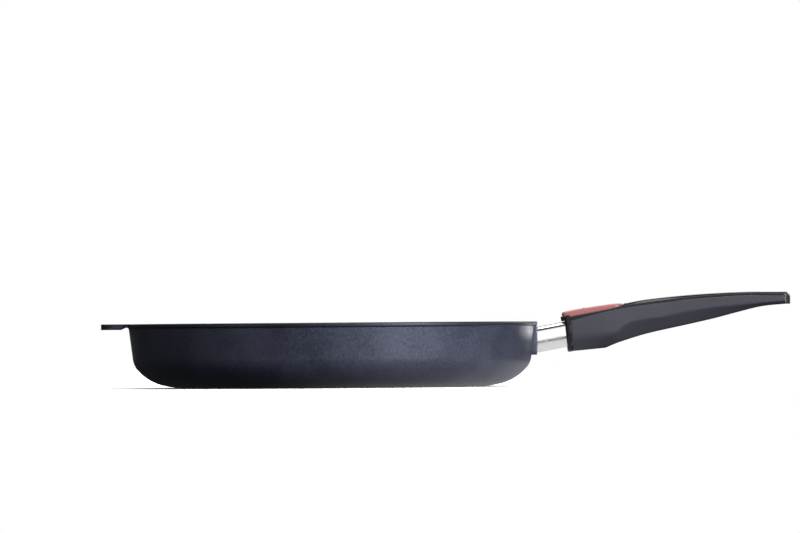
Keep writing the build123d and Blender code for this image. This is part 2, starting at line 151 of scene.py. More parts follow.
def castFinish(setup):
    material, tree, shader = newMaterial("castCoat", Metallic=setup["metal"], IOR=1.5)
    point = objectPoint(tree)
    mottle = noise(tree, point, setup["mottleScale"], 3.0)
    grain = noise(tree, point, setup["grainScale"], 3.0, 0.6)
    cell = addNode(tree, "ShaderNodeTexVoronoi", {"Vector": point, "Scale": setup["fleckScale"]})
    fleck = remap(tree, cell.outputs["Color"], 0.88, 0.98, 0.0, 1.0)
    tone = math2(tree, "ADD", math2(tree, "MULTIPLY", mottle, 0.6), math2(tree, "MULTIPLY", grain, 0.6))
    body = mixColour(tree, remap(tree, tone, 0.42, 0.78, 0.0, 1.0), setup["deep"], setup["pale"])
    colour = mixColour(tree, math2(tree, "MULTIPLY", fleck, setup["fleckShare"]), body, setup["fleck"])
    # painted shade: the base colour is scaled down from the rim band's height up, on the band and the tab
    height = addNode(tree, "ShaderNodeSeparateXYZ", {"Vector": point}).outputs["Z"]
    paintedBandShade = {0: colour, "Scale": remap(tree, height, *setup["band"])}
    shade = addNode(tree, "ShaderNodeVectorMath", paintedBandShade, operation="SCALE")
    tree.links.new(shade.outputs["Vector"], shader.inputs["Base Color"])
    tree.links.new(remap(tree, grain, 0.3, 0.7, *setup["rough"]), shader.inputs["Roughness"])
    ripple = noise(tree, point, setup["rippleScale"], 2.0)
    first = addBump(tree, shader, ripple, setup["rippleHeight"], 0.55)
    addBump(tree, shader, grain, setup["grainHeight"], 0.6, first)
    return material


# Steels: the polished ferrule, and the plain parts inside
steelLooks = {
    "polishedSteel": {"colour": (0.92, 0.92, 0.93, 1.0), "rough": (0.10, 0.20), "lines": 0.0000004},
    "plainSteel": {"colour": (0.56, 0.56, 0.57, 1.0), "rough": (0.22, 0.38), "lines": 0.00001},
    "springSteel": {"colour": (0.42, 0.43, 0.46, 1.0), "rough": (0.18, 0.32), "lines": 0.000006},
}


def steelFinish(name, setup):
    material, tree, shader = newMaterial(name, Metallic=1.0)
    lines = noise(tree, objectPoint(tree, (60.0, 2600.0, 2600.0), (0.0, math.radians(10.5), 0.0)), 1.0, 3.0)
    haze = noise(tree, objectPoint(tree), 90.0, 3.0)
    tree.links.new(remap(tree, haze, 0.3, 0.7, *setup["rough"]), shader.inputs["Roughness"])
    dim = tuple(0.9 * value for value in setup["colour"][:3]) + (1.0,)
    tree.links.new(mixColour(tree, haze, dim, setup["colour"]), shader.inputs["Base Color"])
    addBump(tree, shader, lines, setup["lines"], 0.5)
    return material


# Plastics: matt shell, gloss black and the red thumb piece
plasticLooks = {
    "mattGrip": {
        "colour": (0.050, 0.051, 0.068, 1.0),
        "rough": (0.50, 0.62),
        "grain": 2200.0,
        "bump": 0.00003,
        "ior": 1.46,
    },
    "glossBlack": {
        "colour": (0.010, 0.010, 0.012, 1.0),
        "rough": (0.10, 0.17),
        "grain": 300.0,
        "bump": 0.000006,
        "ior": 1.36,
    },
    "redCap": {
        "colour": (0.47, 0.150, 0.150, 1.0),
        "rough": (0.22, 0.34),
        "grain": 900.0,
        "bump": 0.00001,
        "ior": 1.46,
    },
    "guidePlastic": {
        "colour": (0.030, 0.030, 0.032, 1.0),
        "rough": (0.42, 0.55),
        "grain": 700.0,
        "bump": 0.00002,
        "ior": 1.46,
    },
}


def plasticFinish(name, setup):
    material, tree, shader = newMaterial(name, IOR=setup["ior"])
    point = objectPoint(tree)
    grain = noise(tree, point, setup["grain"], 2.0)
    cloud = noise(tree, point, 55.0, 3.0)
    dim = tuple(0.86 * value for value in setup["colour"][:3]) + (1.0,)
    tree.links.new(mixColour(tree, cloud, dim, setup["colour"]), shader.inputs["Base Color"])
    wear = math2(tree, "ADD", math2(tree, "MULTIPLY", grain, 0.5), math2(tree, "MULTIPLY", cloud, 0.5))
    tree.links.new(remap(tree, wear, 0.35, 0.65, *setup["rough"]), shader.inputs["Roughness"])
    addBump(tree, shader, grain, setup["bump"], 0.6)
    return material


finishes = {"castCoat": castFinish(castCoat)}
for name, setup in steelLooks.items():
    finishes[name] = steelFinish(name, setup)
for name, setup in plasticLooks.items():
    finishes[name] = plasticFinish(name, setup)
print("stage: finishes")


# Modelling helpers
def letGo():
    if bpy.context.object and bpy.context.object.mode != "OBJECT":
        bpy.ops.object.mode_set(mode="OBJECT")
    bpy.ops.object.select_all(action="DESELECT")


def take(piece):
    letGo()
    piece.select_set(True)
    bpy.context.view_layer.objects.active = piece


def smoothLine(points):
    # smooth curve through points of rising x, as a function
    xs = [p[0] for p in points]
    ys = [p[1] for p in points]
    steps = [(ys[i + 1] - ys[i]) / (xs[i + 1] - xs[i]) for i in range(len(xs) - 1)]
    slopes = [steps[0]] + [(a + b) / 2 for a, b in zip(steps, steps[1:])] + [steps[-1]]

    def at(x):
        i = 0
        while i < len(xs) - 2 and x > xs[i + 1]:
            i += 1
        span = xs[i + 1] - xs[i]
        t = (x - xs[i]) / span
        if t < 0.0:
            return ys[0] + slopes[0] * (x - xs[0])
        if t > 1.0:
            return ys[-1] + slopes[-1] * (x - xs[-1])
        a, b = ys[i], ys[i + 1]
        m, n = slopes[i] * span, slopes[i + 1] * span
        rise = a * (1 + 2 * t) * (1 - t) ** 2 + m * t * (1 - t) ** 2
        return rise + b * t * t * (3 - 2 * t) + n * t * t * (t - 1)

    return at


def roundedPath(corners, rounds, arcSteps=6, lineSteps=5):
    # open path through corners, each inner corner rounded by its own length
    path = []
    last = Vector(corners[0])
    for i, corner in enumerate(corners[1:-1], 1):
        here = Vector(corner)
        before = (Vector(corners[i - 1]) - here).normalized()
        after = (Vector(corners[i + 1]) - here).normalized()
        enter, leave = here + before * rounds[i - 1], here + after * rounds[i - 1]
        path += [last.lerp(enter, k / lineSteps) for k in range(lineSteps)]
        for k in range(arcSteps):
            t = k / arcSteps
            path.append(enter * (1 - t) ** 2 + here * 2 * t * (1 - t) + leave * t * t)
        last = leave
    path += [last.lerp(Vector(corners[-1]), k / lineSteps) for k in range(lineSteps + 1)]
    return path


def bothSides(half):
    # closed ring from a half path that starts and ends on the middle plane
    return half[:-1] + [Vector((-p.x, p.y)) for p in reversed(half[1:])]


def loftPiece(name, rings):
    # one skin over a row of rings with equal point counts, closed at both ends
    rows, around = len(rings), len(rings[0])
    letGo()
    bpy.ops.mesh.primitive_grid_add(x_subdivisions=around, y_subdivisions=rows - 1, size=2.0)
    piece = bpy.context.object
    piece.name = name
    for vertex in piece.data.vertices:
        i = round((vertex.co.y + 1) / 2 * (rows - 1))
        j = round((vertex.co.x + 1) / 2 * around) % around
        vertex.co = Vector(rings[i][j]) * mm
    bpy.ops.object.mode_set(mode="EDIT")
    bpy.ops.mesh.select_all(action="SELECT")
    bpy.ops.mesh.remove_doubles(threshold=0.000001)
    bpy.ops.mesh.select_all(action="DESELECT")
    bpy.ops.mesh.select_mode(type="EDGE")
    bpy.ops.mesh.select_non_manifold()
    bpy.ops.mesh.fill_holes(sides=0)
    bpy.ops.mesh.select_all(action="SELECT")
    bpy.ops.mesh.normals_make_consistent(inside=False)
    bpy.ops.mesh.select_mode(type="VERT")
    bpy.ops.object.mode_set(mode="OBJECT")
    return piece


def combine(piece, tool, operation):
    take(piece)
    step = piece.modifiers.new("combine", "BOOLEAN")
    step.operation = operation
    step.solver = "EXACT"
    step.object = tool
    bpy.ops.object.modifier_apply(modifier=step.name)
    bpy.data.objects.remove(tool)


def settle(piece):
    take(piece)
    bpy.ops.object.transform_apply(location=True, rotation=True, scale=True)


def finishPiece(piece, body, finish, nodes, angle=35.0):
    settle(piece)
    piece.data.materials.clear()
    piece.data.materials.append(finishes[finish])
    bpy.ops.object.shade_smooth_by_angle(angle=math.radians(angle))
    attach(piece, body)
    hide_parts(*nodes)


# Directions along the tongue: u along it, v across, w square to it
tongueAxis = {"start": (143.0, 0.0, 32.0), "tilt": 10.5}
tilt = math.radians(tongueAxis["tilt"])
origin = Vector(tongueAxis["start"])
along = Vector((math.cos(tilt), 0.0, math.sin(tilt)))
upward = Vector((-math.sin(tilt), 0.0, math.cos(tilt)))


def tonguePoint(u, v, w):
    return origin + along * u + upward * w + Vector((0.0, v, 0.0))


def tongueBlock(name, u, v, w, bevels=()):
    # block in the tongue's directions, with chosen upright edges rounded: (u side, radius)
    letGo()
    middle = tonguePoint(sum(u) / 2, sum(v) / 2, sum(w) / 2)
    bpy.ops.mesh.primitive_cube_add(size=1.0, location=middle * mm, rotation=(0.0, -tilt, 0.0))
    piece = bpy.context.object
    piece.name = name
    piece.scale = Vector((u[1] - u[0], v[1] - v[0], w[1] - w[0])) * mm
    settle(piece)
    for side, radius in bevels:
        bpy.ops.object.mode_set(mode="OBJECT")
        ends = tonguePoint(u[side], 0, 0) * mm
        for edge in piece.data.edges:
            a, b = (piece.data.vertices[k].co for k in edge.vertices)
            upright = abs((a - b).normalized().dot(upward)) > 0.99
            edge.select = upright and abs(((a + b) / 2 - ends).dot(along)) < 0.00001
        bpy.ops.object.mode_set(mode="EDIT")
        bpy.ops.mesh.select_mode(type="EDGE")
        bpy.ops.mesh.bevel(offset=radius * mm, segments=10, affect="EDGES")
        bpy.ops.mesh.select_mode(type="VERT")
        bpy.ops.object.mode_set(mode="OBJECT")
    return piece


# Pan casting: turned vessel with the tab, the pad and the tongue
pan = {
    "height": 45.0,
    "rim": 143.5,
    "rimInside": 140.0,
    "band": 2.4,
    "rimRound": 0.7,
    "bandRound": 0.35,
    "bandStep": 0.7,
    "mouthRound": 0.5,
    "flat": 102.0,
    "floor": 4.0,
    "wall": 3.0,
    "corner": ((66.0, 15.0), (33.0, 34.2), (15.2, 33.4)),
    "rings": (34.0, 68.0, 98.0),
    "ringWidth": 2.0,
    "ringDepth": 0.35,
    "ringSlope": 0.25,
    "ringFoot": 0.3,
    "arcSteps": 12,
    "steps": 192,
}


def cornerArcs(radius, height, arcs, steps):
    # tangent arcs from flat up to the wall, as radius and height
    path = []
    heading = 0.0
    for bend, turn in arcs:
        for k in range(steps + 1):
            angle = math.radians(heading + turn * k / steps)
            start = math.radians(heading)
            across = radius + bend * (math.sin(angle) - math.sin(start))
            rise = height + bend * (math.cos(start) - math.cos(angle))
            path.append((across, rise))
        radius, height = path[-1]
        heading += turn
        path.pop()
    path.append((radius, height))
    return path, math.radians(heading)


def arcRound(centre, radius, first, last, steps):
    angles = [math.radians(first + (last - first) * k / steps) for k in range(steps + 1)]
    return [(centre[0] + radius * math.cos(a), centre[1] + radius * math.sin(a)) for a in angles]


def panProfile(setup):
    top, under = setup["height"], setup["height"] - setup["band"]
    half, deep = setup["ringWidth"] / 2, setup["ringDepth"]
    slope, foot = setup["ringSlope"], setup["ringFoot"]
    path = [(0.0, 0.0), (16.0, 0.0)]
    for ring in setup["rings"]:
        path += [(ring - half - foot, 0.0), (ring - half, 0.15 * deep), (ring - half + slope, deep)]
        path += [(ring + half - slope, deep), (ring + half, 0.15 * deep), (ring + half + foot, 0.0)]
    outer, angle = cornerArcs(setup["flat"], 0.0, setup["corner"], setup["arcSteps"])
    path += outer
    reach, rise = path[-1]
    for k in range(1, 4):
        z = rise + (under - setup["bandStep"] - rise) * k / 3
        path.append((reach + (z - rise) / math.tan(angle), z))
    edge, low = setup["rim"], setup["bandRound"]
    path += arcRound((edge - low, under + low), low, -110, 0, 4)
    path.append((edge, top - setup["band"] / 2))
    path += arcRound((edge - setup["rimRound"], top - setup["rimRound"]), setup["rimRound"], 0, 90, 6)
    mouth = setup["mouthRound"]
    path += arcRound((setup["rimInside"] + mouth, top - mouth), mouth, 90, 165, 5)
    bends = [(bend - setup["wall"], turn) for bend, turn in setup["corner"]]
    inner, angle = cornerArcs(setup["flat"], setup["floor"], bends, setup["arcSteps"])
    reach, rise = inner[-1]
    side = []
    for k in range(1, 4):
        z = rise + (top - 1.2 - rise) * k / 3
        side.append((reach + (z - rise) / math.tan(angle), z))
    path += list(reversed(inner + side))
    path += [(70.0, setup["floor"]), (35.0, setup["floor"]), (0.0, setup["floor"])]
    return path


def traceLine(name, points):
    # a line of edges in the XZ plane, drawn from one point to the next
    letGo()
    first = Vector((points[0][0], 0.0, points[0][1])) * mm
    bpy.ops.mesh.primitive_plane_add(size=0.001, location=first)
    piece = bpy.context.object
    piece.name = name
    settle(piece)
    bpy.ops.object.mode_set(mode="EDIT")
    bpy.ops.mesh.select_all(action="SELECT")
    bpy.ops.mesh.merge(type="CENTER")
    for (x0, z0), (x1, z1) in zip(points, points[1:]):
        move = Vector((x1 - x0, 0.0, z1 - z0)) * mm
        bpy.ops.mesh.extrude_region_move(TRANSFORM_OT_translate={"value": move})
    bpy.ops.object.mode_set(mode="OBJECT")
    return piece


def turnPiece(piece, steps):
    take(piece)
    bpy.ops.object.mode_set(mode="EDIT")
    bpy.ops.mesh.select_all(action="SELECT")
    bpy.ops.mesh.spin(steps=steps, angle=2 * math.pi, center=(0.0, 0.0, 0.0), axis=(0.0, 0.0, 1.0))
    bpy.ops.mesh.select_all(action="SELECT")
    bpy.ops.mesh.remove_doubles(threshold=0.000005)
    bpy.ops.mesh.normals_make_consistent(inside=False)
    bpy.ops.object.mode_set(mode="OBJECT")


# Helper tab: straight sides, an end that follows the rim, flared roots and a lip underneath
tab = {
    "reach": 161.8,
    "half": 25.0,
    "corner": 7.0,
    "root": 5.0,
    "inside": 137.5,
    "endStations": (151.0, 153.0, 154.5, 155.5, 156.5, 157.5, 158.3, 159.0, 159.6, 160.1, 160.5, 160.9, 161.3,
                    161.55, 161.7),
    "lipFrom": 144.2,
    "lipSlope": 3.0,
    "lipDrop": 1.5,
    "edge": 0.45,
    "curve": 1.8,
}


def tabHalf(x):
    # half width of the tab at a distance x from the pan's axis
    half, corner, root, reach = tab["half"], tab["corner"], tab["root"], tab["reach"]
    rootStart = math.sqrt(pan["rim"] ** 2 - (half + root) ** 2)
    if x < rootStart + root:
        near = min(max((rootStart + root - x) / root, 0.0), 1.0)
        return half + root * (1 - math.sqrt(1 - near * near))
    tipX = math.sqrt((reach - corner) ** 2 - (half - corner) ** 2)
    if x > tipX:
        rise = corner ** 2 - (x - tipX) ** 2
        return half - corner + math.sqrt(max(rise, 0.0))
    return half


def tabPiece():
    top, under = pan["height"], pan["height"] - pan["band"]
    stations = [tab["inside"] + k for k in range(13)]
    stations += tab["endStations"]
    rings = []
    lipEnd = tab["lipFrom"] + tab["lipSlope"]
    for x in stations:
        half = tabHalf(x)
        slope = min(max((x - tab["lipFrom"]) / (lipEnd - tab["lipFrom"]), 0.0), 1.0)
        low = under - tab["lipDrop"] * slope
        edge = tab["edge"] + 0.25 * max(x - 161.0, 0.0)
        side = ((half - 0.9 * slope, low), (half, low + 0.7 + 0.2 * slope), (half, top))
        corners = ((0.0, low), *side, (0.0, top))
        ring = bothSides(roundedPath(corners, (0.3, 0.3, edge), 4, 6))
        # the end follows the rim's circle
        share = min(max((x - 146.0) / 14.0, 0.0), 1.0)
        rings.append([(tab["curve"] * share * (p.x / tab["half"]) ** 2 - x, p.x, p.y) for p in ring])
    return loftPiece("tab", rings)


# Lug pad on the wall, and the tongue that the handle slides onto
lug = {"face": 143.0, "half": 14.5, "low": 21.6, "corner": 3.0, "back": 137.6, "backSlope": 0.1, "edge": 0.5}
tongue = {
    "half": 7.5,
    "rise": 4.5,
    "length": 47.0,
    "round": 1.2,
    "nose": 3.0,
    "noseDrop": 2.1,
    "notch": (35.4, 40.6),
    "notchDepth": 1.5,
}


def lugPiece():
    # its back follows the middle of the vessel's wall
    high = pan["height"] - pan["band"] + 0.4
    face, edge = lug["face"], lug["edge"]
    rings = []
    for x, inset in ((lug["back"], 0.0), (face - edge, 0.0), (face - 0.15 * edge, 0.3 * edge), (face, edge)):
        half, low = lug["half"] - inset, lug["low"] + inset
        corners = ((0.0, low), (half, low), (half, high), (0.0, high))
        ring = bothSides(roundedPath(corners, (lug["corner"], 0.2), 8, 3))
        slope = lug["backSlope"] if x == lug["back"] else 0.0
        rings.append([(x + slope * (p.y - lug["low"]), p.x, p.y) for p in ring])
    return loftPiece("lug", rings)


def tonguePiece():
    half, rise, length = tongue["half"], tongue["rise"], tongue["length"]
    rings = []
    nose = ((length - tongue["nose"], 0.0, 0.0), (length - 0.6, 1.7, 0.0), (length, tongue["noseDrop"], 0.5))
    for u, drop, tuck in ((-3.0, 0.0, 0.0), (30.0, 0.0, 0.0)) + nose:
        low, high = -rise + tuck, rise - drop
        corners = ((0.0, low), (half - tuck, low), (half - tuck, high), (0.0, high))
        ring = bothSides(roundedPath(corners, (tongue["round"], tongue["round"]), 5, 3))
        rings.append([tonguePoint(u, p.x, p.y) for p in ring])
    piece = loftPiece("tongue", rings)
    cut = (rise - tongue["notchDepth"], rise + 2)
    notch = tongueBlock("notch", tongue["notch"], (-half - 1, half + 1), cut)
    combine(piece, notch, "DIFFERENCE")
    return piece


def buildPan():
    vessel = traceLine("frying_pan_casting", panProfile(pan))
    turnPiece(vessel, pan["steps"])
    added = lugPiece()
    combine(added, tonguePiece(), "UNION")
    tabSolid = tabPiece()
    take(added)
    tabSolid.select_set(True)
    bpy.ops.object.join()
    combine(vessel, added, "UNION")
    finishPiece(vessel, "pan", "castCoat", ["pan_casting"], 32.0)


buildPan()
print("stage: pan")

# Ferrule: polished tube with slightly bulged sides
ferrule = {"half": 12.5, "rise": 8.85, "corner": 3.4, "bulge": 0.9, "wall": 1.2, "mouth": 143.3, "end": 31.0}


def ferruleHalf(shrink):
    # half section: flat top and bottom, side bulged by a shallow arc, corners rounded
    top, side = ferrule["rise"] - shrink, ferrule["half"] - shrink
    corner = max(ferrule["corner"] - shrink, 0.5)
    radius = ((ferrule["rise"]) ** 2 + ferrule["bulge"] ** 2) / (2 * ferrule["bulge"])
    path = []
    flat = side - ferrule["bulge"] - corner * 0.92
    path += [Vector((flat * k / 5, -top)) for k in range(5)]
    reach = math.degrees(math.asin((top - corner) / radius))
    first = Vector((flat, -top))
    sideLow = Vector((side - radius + radius * math.cos(math.radians(reach)), -(top - corner)))
    for k in range(10):
        path.append(cornerBlend(first, sideLow, reach, k / 10))
    for k in range(9):
        a = math.radians(-reach + 2 * reach * k / 8)
        path.append(Vector((side - radius + radius * math.cos(a), radius * math.sin(a))))
    upper = [Vector((p.x, -p.y)) for p in reversed(path[:15])]
    return path + upper


def cornerBlend(first, last, reach, t):
    # round corner between the flat and the bulged side, close to a circle
    pull = 0.552
    lean = Vector((math.sin(math.radians(reach)), 1.0)).normalized()
    span = last.y - first.y
    a = first + Vector((1.0, 0.0)) * (last.x - first.x) * pull
    b = last - lean * span * pull
    s = 1 - t
    return first * s ** 3 + a * 3 * s * s * t + b * 3 * s * t * t + last * t ** 3


def ferruleSolid(name, shrink, stretch):
    ring = bothSides(ferruleHalf(shrink))
    rings = []
    for u in (-3.5 - stretch, -3.0, 0.0, 8.0, 16.0, 24.0, ferrule["end"] + stretch):
        rings.append([tonguePoint(u, p.x, p.y) for p in ring])
    return loftPiece(name, rings)


def cutBefore(x):
    # block that takes away what lies nearer the pan than x
    letGo()
    bpy.ops.mesh.primitive_cube_add(size=0.06, location=((x - 30.0) * mm, 0.0, 0.032))
    return bpy.context.object


def buildFerrule():
    tube = ferruleSolid("ferrule_tube", 0.0, 0.0)
    combine(tube, ferruleSolid("ferruleHollow", ferrule["wall"], 2.0), "DIFFERENCE")
    combine(tube, cutBefore(ferrule["mouth"]), "DIFFERENCE")
    finishPiece(tube, "handle", "polishedSteel", ["ferrule"], 40.0)


buildFerrule()
print("stage: ferrule")

# Grip: matt shell below a parting line, gloss spine above it, lengths in mm along the object's X
gripLines = {
    "halfWidth": ((160.0, 14.9), (190.0, 15.1), (214.0, 14.0), (245.0, 12.9), (285.0, 12.7), (325.0, 12.7)),
    "seam": ((166.1, 45.25), (186.35, 50.5), (203.5, 53.95), (222.0, 56.4), (256.0, 60.3), (290.0, 62.0),
             (316.2, 61.8)),
    "belly": ((190.8, 26.1), (198.5, 29.3), (206.0, 31.8), (218.0, 35.4), (231.0, 38.4), (243.0, 40.9),
              (255.0, 43.5), (267.0, 46.2), (284.0, 50.6), (300.0, 54.3), (316.2, 55.9)),
    "blockFloor": ((168.2, 24.0), (190.8, 26.1)),
    "crease": ((166.0, 32.3), (191.0, 34.7), (196.0, 35.4), (198.2, 36.4), (200.8, 38.6), (203.6, 41.3),
               (207.3, 43.5), (214.3, 45.2), (229.3, 47.1), (242.3, 50.0), (255.7, 52.3), (269.2, 53.9),
               (282.5, 55.1), (316.2, 58.0)),
    "bellyHalf": ((166.0, 7.0), (190.0, 7.2), (205.0, 7.6), (232.0, 6.9), (262.0, 6.9), (292.0, 8.0),
                  (316.2, 9.4)),
    "crown": ((204.9, 57.2), (215.0, 59.1), (228.0, 60.75), (256.0, 63.2), (288.0, 64.6), (317.4, 64.55)),
    "railTop": ((165.83, 48.18), (199.0, 54.6), (201.5, 55.3), (204.9, 57.2)),
    "railEnd": 205.3,
    "frontTop": (166.1, 45.3),
    "frontLean": 0.0963,
    "straightFrom": 200.0,
    "tip": 320.0,
    "shellTip": 316.2,
    "tipCorner": 5.5,
    "spineInset": 0.45,
}
curves = {}
for key in ("halfWidth", "seam", "crease", "bellyHalf", "crown", "railTop", "belly", "blockFloor"):
    curves[key] = smoothLine(gripLines[key])


def bellyZ(x):
    return curves["blockFloor"](x) if x < gripLines["belly"][0][0] else curves["belly"](x)


def gripHalf(x, shrink=0.0):
    # half width of the grip's plan, with the tip's corners rounded
    tip, corner = gripLines["tip"] + gripLines["spineInset"] - shrink, gripLines["tipCorner"]
    half = curves["halfWidth"](x) - shrink
    if x > tip - corner:
        deep = min(x - (tip - corner), corner)
        half -= corner - math.sqrt(max(corner ** 2 - deep ** 2, 0.0))
    return half


def leanX(station, z):
    # the front stations lean with the grip's front face and stand upright further back
    straight, front = gripLines["straightFrom"], gripLines["frontTop"]
    share = min(max((straight - station) / (straight - front[0]), 0.0), 1.0)
    return station + share * (front[1] - z) * gripLines["frontLean"]


def leanZ(curve, station):
    # height of a side line where a leaning station meets it
    z = curve(station)
    for _ in range(4):
        z = curve(leanX(station, z))
    return z


def shellRing(station, inset):
    seam = leanZ(curves["seam"], station) - inset
    floorZ = leanZ(bellyZ, station) + inset
    crease = leanZ(curves["crease"], station)
    half = gripHalf(station) - inset
    reach = min(curves["bellyHalf"](station), half - 1.0)
    share = min(max((station - 192.0) / 12.0, 0.0), 1.0)
    rounds = (3.4 - 1.6 * share, 4.2 - 3.0 * share, 0.8)
    limit = 0.45 * (crease - floorZ)
    rounds = (min(rounds[0], limit), min(rounds[1], limit), rounds[2])
    corners = ((0.0, floorZ), (reach, floorZ), (half, crease), (half, seam), (0.0, seam))
    ring = bothSides(roundedPath(corners, rounds, 8, 6))
    return [(leanX(station, p.y), p.x, p.y) for p in ring]


def shellStations():
    front = gripLines["frontTop"][0]
    stations = [(front, 0.35), (front + 0.12, 0.12), (front + 0.35, 0.0)]
    stations += [(front + 2.0 + 2.4 * k, 0.0) for k in range(10)]
    stations += [(190.2, 0.0), (191.0, 0.0), (192.0, 0.0)]
    stations += [(193.5 + 1.5 * k, 0.0) for k in range(12)]
    stations += [(212.5 + 2.6 * k, 0.0) for k in range(40)]
    return stations + [(314.9, 0.0), (315.6, 0.0), (gripLines["shellTip"], 0.0)]


# Screw wells, hanging eye and inner space of the grip
gripInside = {
    "cavities": (
        ((20.0, 49.1), (-10.5, 10.5), (0.0, 25.0)),
        ((31.1, 49.05), (-10.4, 10.4), (-8.5, 2.0)),
        ((48.9, 68.3), (-8.5, 8.5), (-7.0, 6.0)),
        ((48.8, 68.2), (-10.5, 10.5), (5.3, 25.0)),
    ),
    "frontScrewU": 57.5,
    "frontWell": (-22.0, -9.6),
    "rearScrewX": 250.0,
    "rearWell": (30.0, 45.6),
    "wellRadius": 3.8,
    "eyeX": 306.0,
    "eyeHalf": 3.5,
    "eyeWidth": 7.0,
    "eyeLip": 0.8,
}


def wellCutter(middle, direction, length, radius):
    # round cutter, its axis along a direction from a middle point
    letGo()
    turn = direction.to_track_quat("Z", "Y").to_euler()
    size = {"vertices": 48, "radius": radius * mm, "depth": length * mm}
    bpy.ops.mesh.primitive_cylinder_add(**size, location=middle * mm, rotation=turn)
    settle(bpy.context.object)
    return bpy.context.object


def eyeCutter(x, low, high):
    # slot cutter that widens to a lip at the lower and the upper face
    half, radius, lip = gripInside["eyeHalf"], gripInside["eyeWidth"] / 2, gripInside["eyeLip"]
    rings = []
    for z, grow in ((low - 3.0, lip + 3.0), (low, lip), (low + lip * 0.4, 0.3 * lip), (low + lip, 0.0),
                    (high - lip, 0.0), (high - lip * 0.4, 0.3 * lip), (high, lip), (high + 3.0, lip + 3.0)):
        ring = []
        for side, turn in ((1.0, -90.0), (-1.0, 90.0)):
            for k in range(17):
                a = math.radians(turn + 180.0 * k / 16)
                reach = radius + grow
                ring.append((x + side * half + reach * math.cos(a), reach * math.sin(a), z))
        rings.append(ring)
    return loftPiece("eye", rings)


def buildShell():
    shell = loftPiece("grip_shell_matt", [shellRing(x, inset) for x, inset in shellStations()])
    combine(shell, ferruleSolid("ferruleSeat", -0.1, 0.07), "DIFFERENCE")
    for size in gripInside["cavities"]:
        combine(shell, tongueBlock("cavity", *size), "DIFFERENCE")
    well = gripInside["frontWell"]
    middle, radius = tonguePoint(gripInside["frontScrewU"], 0.0, sum(well) / 2), gripInside["wellRadius"]
    combine(shell, wellCutter(middle, upward, well[1] - well[0], radius), "DIFFERENCE")
    well = gripInside["rearWell"]
    middle = Vector((gripInside["rearScrewX"], 0.0, sum(well) / 2))
    combine(shell, wellCutter(middle, Vector((0.0, 0.0, 1.0)), well[1] - well[0], radius), "DIFFERENCE")
    eyeX = gripInside["eyeX"]
    combine(shell, eyeCutter(eyeX, curves["belly"](eyeX), 70.0), "DIFFERENCE")
    finishPiece(shell, "handle", "mattGrip", ["grip_shell"], 38.0)


buildShell()
print("stage: grip shell")

# Spine: rails beside the thumb piece, a crown behind it and a tail over the tip
spine = {
    "seamGap": 0.02,
    "band": 1.35,
    "crownIn": 2.6,
    "crownDrop": 0.35,
    "recess": 10.6,
    "recessEnd": 65.6,
    "recessRound": 7.0,
    "tailLow": 55.9,
    "tipSlope": 0.75,
}


def spineTop(x):
    if x < gripLines["railEnd"]:
        return curves["railTop"](x)
    if x > 316.0:
        slopeX, slopeZ = gripLines["crown"][-1]
        return slopeZ - max(x - slopeX, 0.0) * spine["tipSlope"]
    return curves["crown"](x)


def spineRing(station, inset, lowZ=None):
    low = leanZ(curves["seam"], station) + spine["seamGap"] if lowZ is None else lowZ
    low += inset
    high = leanZ(spineTop, station) - inset
    half = gripHalf(station, gripLines["spineInset"]) - inset
    rail = station < gripLines["railEnd"]
    side = high - 0.5 if rail else min(low + spine["band"], high - 0.5)
    if lowZ is not None:
        side = high - 1.2
    inner = half - (0.5 if rail else spine["crownIn"])
    topZ = high if rail else high - 0.02
    edge = high if rail else high - spine["crownDrop"]
    corners = ((0.0, low), (half, low), (half, side), (inner, edge), (0.0, topZ))
    rounds = (0.15, 0.2 if rail else 0.6, 0.2 if rail else 1.2)
    ring = bothSides(roundedPath(corners, rounds, 6, 6))
    return [(leanX(station, p.y), p.x, p.y) for p in ring]


def buildSpine():
    front = gripLines["frontTop"][0]
    rings = [spineRing(front, 0.25), spineRing(front + 0.25, 0.0)]
    rings += [spineRing(front + 2.0 + 3.0 * k, 0.0) for k in range(13)]
    rings += [spineRing(205.2, 0.0), spineRing(205.4, 0.0), spineRing(206.2, 0.0)]
    rings += [spineRing(208.5 + 2.8 * k, 0.0) for k in range(38)]
    rings += [spineRing(314.0, 0.0), spineRing(315.2, 0.0), spineRing(316.17, 0.0)]
    tail = [(x, 0.0) for x in (316.18, 316.7, 317.5, 318.3, 319.0, 319.5)] + [(319.8, 0.1), (319.95, 0.3)]
    rings += [spineRing(x, inset, spine["tailLow"]) for x, inset in tail]
    piece = loftPiece("grip_spine_gloss", rings)
    half = spine["recess"]
    bevels = ((1, spine["recessRound"]),)
    recess = tongueBlock("recess", (15.0, spine["recessEnd"]), (-half, half), (0.0, 25.0), bevels)
    combine(piece, recess, "DIFFERENCE")
    eyeX = gripInside["eyeX"]
    combine(piece, eyeCutter(eyeX, 40.0, curves["crown"](eyeX)), "DIFFERENCE")
    finishPiece(piece, "handle", "glossBlack", ["grip_spine"], 38.0)


buildSpine()
print("stage: grip spine")

# Collar: gloss ring in front of the grip, with a nose over the ferrule
collar = {
    "front": 20.6,
    "rear": 24.36,
    "lean": 5.0,
    "half": 15.1,
    "low": -12.6,
    "top": 12.8,
    "round": 1.4,
    "leg": 7.8,
    "nose": (19.2, 24.7),
    "noseHalf": 12.5,
    "noseLow": 9.3,
    "noseCorner": 2.0,
    "noseEdge": 0.6,
    "gap": 0.08,
}


def collarRing(u, inset):
    half, low, top = collar["half"] - inset, collar["low"] + inset, collar["top"] - inset
    leg = collar["leg"] - inset
    corners = ((0.0, low), (half - leg, low), (half, low + leg), (half, top), (0.0, top))
    ring = bothSides(roundedPath(corners, (3.4, 4.2, 1.6), 8, 5))
    lean = math.tan(math.radians(collar["lean"]))
    return [tonguePoint(u + lean * p.y, p.x, p.y) for p in ring]


